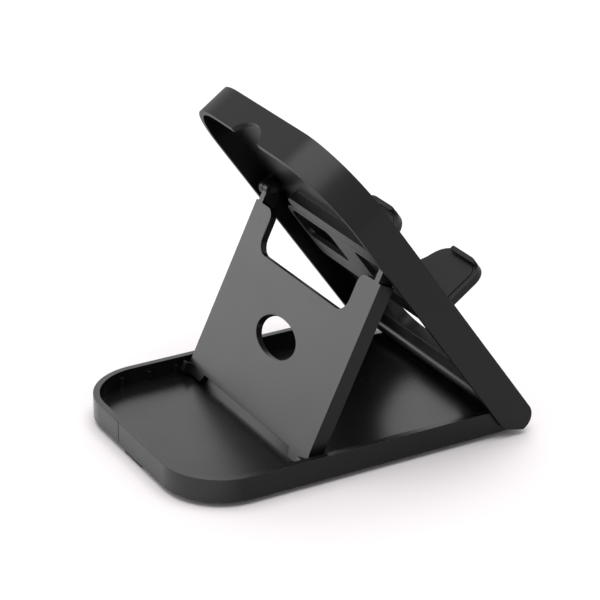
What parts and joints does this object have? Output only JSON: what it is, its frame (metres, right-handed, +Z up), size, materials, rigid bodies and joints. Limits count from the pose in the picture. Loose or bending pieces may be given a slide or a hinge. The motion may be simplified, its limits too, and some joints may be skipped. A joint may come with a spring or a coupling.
{
  "type": "phone stand",
  "caption": "Folding desk stand for a phone: shallow base tray, hinged lid-shaped back panel, notched prop strut and flip-out two-prong ledge with soft pads.",
  "frame": {"origin": "middle of the outline on the desk, at the underside of the feet", "axes": "+X along the hinges, +Y to the rear, away from the phone, +Z up"},
  "size_m": [0.0842, 0.111, 0.0989],
  "materials": {
    "black_plastic": "satin moulded",
    "silicone": "matte moulded",
    "rubber": "matte",
    "steel_pin": "ground"
  },
  "bodies": {
    "base": {"base_tray": "black_plastic", "rear_foot": "rubber", "front_foot_left": "rubber", "front_foot_right": "rubber"},
    "panel": {"back_panel": "black_plastic", "hinge_cover": "black_plastic", "back_pad_left": "silicone", "back_pad_right": "silicone", "main_pin_left": "steel_pin", "main_pin_right": "steel_pin", "ledge_pin_left": "steel_pin", "ledge_pin_right": "steel_pin"},
    "ledge": {"ledge_flap": "black_plastic", "ledge_pad_left": "silicone", "ledge_pad_right": "silicone"},
    "strut": {"strut_plate": "black_plastic", "strut_pin_left": "steel_pin", "strut_pin_right": "steel_pin"}
  },
  "joints": [
    {"name": "panel_tilt", "type": "hinge", "parent": "base", "child": "panel", "pos_m": [0, -0.04845, 0.00716], "axis": [1, 0, 0], "range_deg": [0, 26]},
    {"name": "strut_swing", "type": "hinge", "parent": "panel", "child": "strut", "pos_m": [0, -0.01008, 0.05964], "axis": [1, 0, 0], "range_deg": [-59.8, 0]},
    {"name": "ledge_fold", "type": "hinge", "parent": "panel", "child": "ledge", "pos_m": [0, -0.02887, 0.04132], "axis": [-1, 0, 0], "range_deg": [0, 90]}
  ],
  "couplings": [
    {"joint": "strut_swing", "follows": "panel_tilt", "ratio": -2.3}
  ]
}
